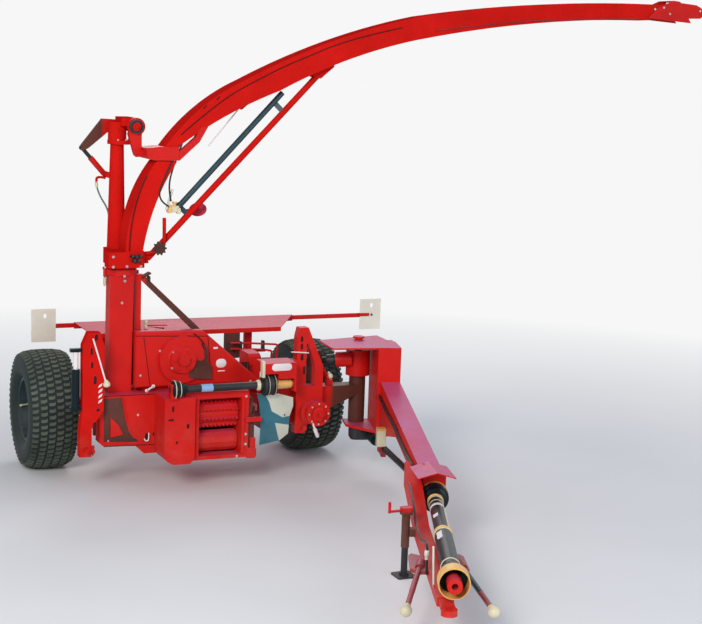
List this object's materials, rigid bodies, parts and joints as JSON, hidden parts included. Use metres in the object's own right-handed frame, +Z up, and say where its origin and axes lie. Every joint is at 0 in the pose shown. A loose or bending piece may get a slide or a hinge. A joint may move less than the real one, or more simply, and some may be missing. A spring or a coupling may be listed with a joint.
{
  "type": "forage harvester",
  "caption": "Trailed forage harvester with curved discharge spout, toothed feed rolls, swinging drawbar and two wheels, header taken off",
  "frame": {"origin": "centre of the hitch eye at the front end of the drawbar", "axes": "+Z is up along the hitch eye, -Y is forward, the way the machine is drawn, and +X is the machine's own left, to which the parked spout points"},
  "size_m": [5.274, 4.903, 3.573],
  "materials": {
    "red_paint": "gloss",
    "tyre_rubber": "matt",
    "rim_paint": "satin",
    "dark_metal": "satin",
    "galvanised": "satin",
    "yellow_guard": "satin",
    "black_guard": "satin",
    "board_paint": "matt",
    "ram_paint": "gloss"
  },
  "bodies": {
    "chassis": {"axle": "red_paint", "main_frame": "red_paint", "rear_deck": "red_paint", "marker_bar": "red_paint", "marker_boards": "board_paint", "chopper_housing": "red_paint", "drum_hood": "red_paint", "drive_guard": "red_paint", "blower_case": "red_paint", "chain_cover": "red_paint", "intake_frame": "red_paint", "roll_arm": "red_paint", "clutch_guard": "red_paint", "folded_shield": "galvanised", "header_post_left": "red_paint", "header_post_right": "red_paint", "header_ram": "black_guard", "tower": "red_paint", "swivel_gearbox": "red_paint"},
    "wheel_right": {"tyre_right": "tyre_rubber", "rim_right": "rim_paint"},
    "wheel_left": {"tyre_left": "tyre_rubber", "rim_left": "rim_paint"},
    "feed_upper": {"feed_roll_upper": "red_paint"},
    "feed_lower": {"feed_roll_lower": "red_paint"},
    "cross_drive": {"cross_shaft": "dark_metal", "drive_sleeve": "yellow_guard"},
    "side_drive": {"side_shaft": "dark_metal"},
    "spout_base": {"turning_base": "red_paint", "lower_spout": "red_paint", "mast": "red_paint"},
    "spout_arm": {"upper_spout": "red_paint", "lift_arm": "red_paint", "strut": "red_paint", "strut_tube": "ram_paint"},
    "ram_barrel": {"lift_cylinder": "red_paint"},
    "ram_rod": {"lift_rod": "dark_metal"},
    "mouth_flap": {"flap": "red_paint"},
    "mouth_tip": {"tip_flap": "red_paint"},
    "drawbar": {"drawbar_head": "red_paint", "drawbar_beam": "red_paint", "shaft_roof": "red_paint", "lower_gearbox": "dark_metal", "pto_guard": "black_guard", "pto_cones": "yellow_guard", "guide_rods": "red_paint", "jack_tube": "red_paint"},
    "beam_drive": {"beam_shaft": "black_guard"},
    "pto_drive": {"pto_shaft": "red_paint"},
    "jack": {"jack_leg": "dark_metal"}
  },
  "joints": [
    {"name": "wheel_right_spin", "type": "hinge", "parent": "chassis", "child": "wheel_right", "pos_m": [-1.06999, 4.42508, 0.16], "axis": [1, 0, 0], "continuous": true},
    {"name": "wheel_left_spin", "type": "hinge", "parent": "chassis", "child": "wheel_left", "pos_m": [0.99001, 4.42508, 0.16], "axis": [1, 0, 0], "continuous": true},
    {"name": "feed_upper_spin", "type": "hinge", "parent": "chassis", "child": "feed_upper", "pos_m": [-0.04999, 3.55508, 0.265], "axis": [1, 0, 0], "continuous": true},
    {"name": "feed_lower_spin", "type": "hinge", "parent": "chassis", "child": "feed_lower", "pos_m": [-0.04999, 3.55508, 0.061], "axis": [1, 0, 0], "continuous": true},
    {"name": "cross_spin", "type": "hinge", "parent": "chassis", "child": "cross_drive", "pos_m": [-0.03999, 3.38308, 0.477], "axis": [1, 0, 0], "continuous": true},
    {"name": "side_spin", "type": "hinge", "parent": "chassis", "child": "side_drive", "pos_m": [0.42001, 3.90508, 0.525], "axis": [0.8737, -0.4761, 0.0999], "continuous": true},
    {"name": "spout_turn", "type": "hinge", "parent": "chassis", "child": "spout_base", "pos_m": [-0.66799, 3.82008, 1.275], "axis": [0, 0, 1], "range_deg": [-90, 180]},
    {"name": "spout_lift", "type": "hinge", "parent": "spout_base", "child": "spout_arm", "pos_m": [-0.57999, 3.82508, 2.25], "axis": [0, -1, 0], "range_deg": [0, 10]},
    {"name": "ram_swing", "type": "hinge", "parent": "spout_base", "child": "ram_barrel", "pos_m": [-0.72999, 4.06508, 1.905], "axis": [0, -1, 0], "range_deg": [0, 3.2]},
    {"name": "ram_slide", "type": "slide", "parent": "ram_barrel", "child": "ram_rod", "axis": [-0.6644, 0, 0.7474], "range_m": [-0.062, 0]},
    {"name": "flap_tilt", "type": "hinge", "parent": "spout_arm", "child": "mouth_flap", "pos_m": [3.59201, 3.76508, 3.225], "axis": [0, 1, 0], "range_deg": [0, 40]},
    {"name": "tip_tilt", "type": "hinge", "parent": "mouth_flap", "child": "mouth_tip", "pos_m": [3.77201, 3.76508, 3.225], "axis": [0, 1, 0], "range_deg": [0, 32]},
    {"name": "drawbar_swing", "type": "hinge", "parent": "chassis", "child": "drawbar", "pos_m": [1.08001, 3.62508, 0.365], "axis": [0, 0, 1], "range_deg": [-15, 35]},
    {"name": "beam_spin", "type": "hinge", "parent": "drawbar", "child": "beam_drive", "pos_m": [1.10318, 3.42176, 0.053], "axis": [-0.1755, -0.9845, 0.0043], "continuous": true},
    {"name": "pto_spin", "type": "hinge", "parent": "drawbar", "child": "pto_drive", "pos_m": [0.81415, 1.80057, 0.06], "axis": [-0.3991, -0.9164, 0.0311], "continuous": true},
    {"name": "jack_slide", "type": "slide", "parent": "drawbar", "child": "jack", "axis": [0, 0, 1], "range_m": [0, 0.145]}
  ],
  "couplings": [
    {"joint": "feed_lower_spin", "follows": "feed_upper_spin", "ratio": -1.289},
    {"joint": "ram_swing", "follows": "spout_lift", "ratio": 0.301},
    {"joint": "ram_slide", "follows": "spout_lift", "m_per_rad": -0.3446},
    {"joint": "tip_tilt", "follows": "flap_tilt", "ratio": 0.8},
    {"joint": "beam_spin", "follows": "pto_spin", "ratio": 1},
    {"joint": "side_spin", "follows": "cross_spin", "ratio": 1}
  ]
}
